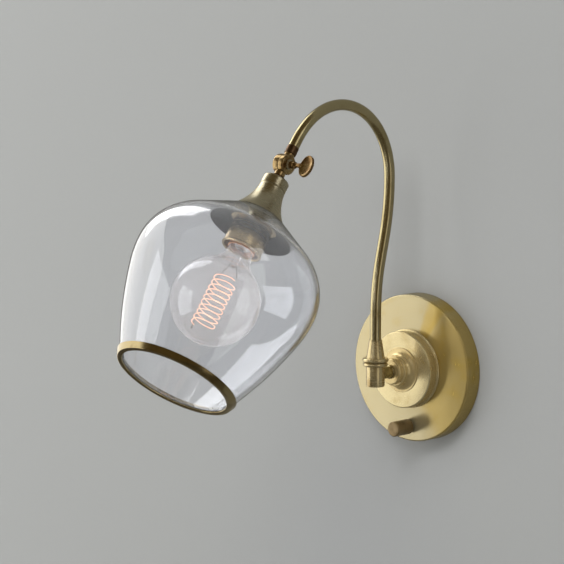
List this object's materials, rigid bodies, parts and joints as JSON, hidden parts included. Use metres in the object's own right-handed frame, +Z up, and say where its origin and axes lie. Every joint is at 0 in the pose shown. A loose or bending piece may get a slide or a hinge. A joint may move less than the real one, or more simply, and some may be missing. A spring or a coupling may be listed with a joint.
{
  "type": "wall sconce",
  "caption": "Wall light with a round stepped plate, a swivelling gooseneck arm, a key-clamped tilting knuckle and a clear glass shade round a globe bulb.",
  "frame": {"origin": "centre of the mounting bar's back face, on the wall", "axes": "+Y into the wall, +Z up, the lamp stands out towards -Y, +X to the right as seen from the room"},
  "size_m": [0.17, 0.3741, 0.3228],
  "materials": {
    "antique_brass": "aged satin",
    "dark_bronze": "dark aged satin",
    "dark_knurl": "dark, knurled",
    "zinc_steel": "zinc plated",
    "spring_steel": "blued",
    "green_screw": "green",
    "lead_sleeve": "matt",
    "black_plastic": "matt",
    "grey_gasket": "matt",
    "dark_grey_paint": "satin",
    "porcelain": "glazed",
    "copper_brass": "bright",
    "shade_glass": "clear, polished",
    "bulb_glass": "clear, polished",
    "support_wire": "drawn",
    "filament": "glowing warm"
  },
  "bodies": {
    "wall": {"mounting_bar": "zinc_steel", "earth_screw": "green_screw", "bar_nut": "zinc_steel", "centre_nipple": "zinc_steel", "plate_nut": "zinc_steel", "wall_plate": "antique_brass", "hub_disc": "antique_brass", "hub": "antique_brass", "stub": "dark_bronze", "post": "dark_bronze", "post_plug": "dark_bronze", "post_ring": "dark_bronze", "wall_lead": "lead_sleeve", "switch_body": "black_plastic", "switch_nut": "zinc_steel", "switch_lead": "lead_sleeve"},
    "knob": {"switch_shaft": "zinc_steel", "knob": "dark_bronze"},
    "arm": {"swivel_stem": "zinc_steel", "snap_ring": "spring_steel", "ferrule": "dark_bronze", "arm_tube": "dark_bronze", "arm_lead": "lead_sleeve", "tip_collar": "dark_knurl", "knuckle_upper": "dark_bronze", "key_washer": "antique_brass"},
    "key": {"thumb_key": "dark_bronze"},
    "shade": {"knuckle_lower": "dark_bronze", "neck_collar_ring": "dark_knurl", "holder_cap": "antique_brass", "shade_nipple": "zinc_steel", "shade_lead": "lead_sleeve", "bell": "antique_brass", "shade_glass": "shade_glass", "glass_gasket": "grey_gasket", "glass_plate": "dark_grey_paint", "seat_washer": "antique_brass", "lampholder_cup": "copper_brass", "insulator": "porcelain", "screw_shell": "copper_brass", "centre_contact": "copper_brass", "bulb_cap": "copper_brass", "bulb_insulator": "black_plastic", "bulb_glass": "bulb_glass", "bulb_stem": "bulb_glass", "support_upper": "support_wire", "support_lower": "support_wire", "filament": "filament", "mouth_band": "antique_brass"}
  },
  "joints": [
    {"name": "arm_swivel", "type": "hinge", "parent": "wall", "child": "arm", "pos_m": [0, -0.0664, 0], "axis": [0, 0, 1], "range_deg": [-75, 75]},
    {"name": "shade_tilt", "type": "hinge", "parent": "arm", "child": "shade", "pos_m": [0, -0.18967, 0.20236], "axis": [1, 0, 0], "range_deg": [-60, 45]},
    {"name": "key_turn", "type": "hinge", "parent": "arm", "child": "key", "pos_m": [0, -0.18967, 0.20236], "axis": [1, 0, 0], "range_deg": [-180, 0]},
    {"name": "knob_turn", "type": "hinge", "parent": "wall", "child": "knob", "pos_m": [0, -0.03, -0.054], "axis": [0, 1, 0], "range_deg": [0, 270]}
  ]
}
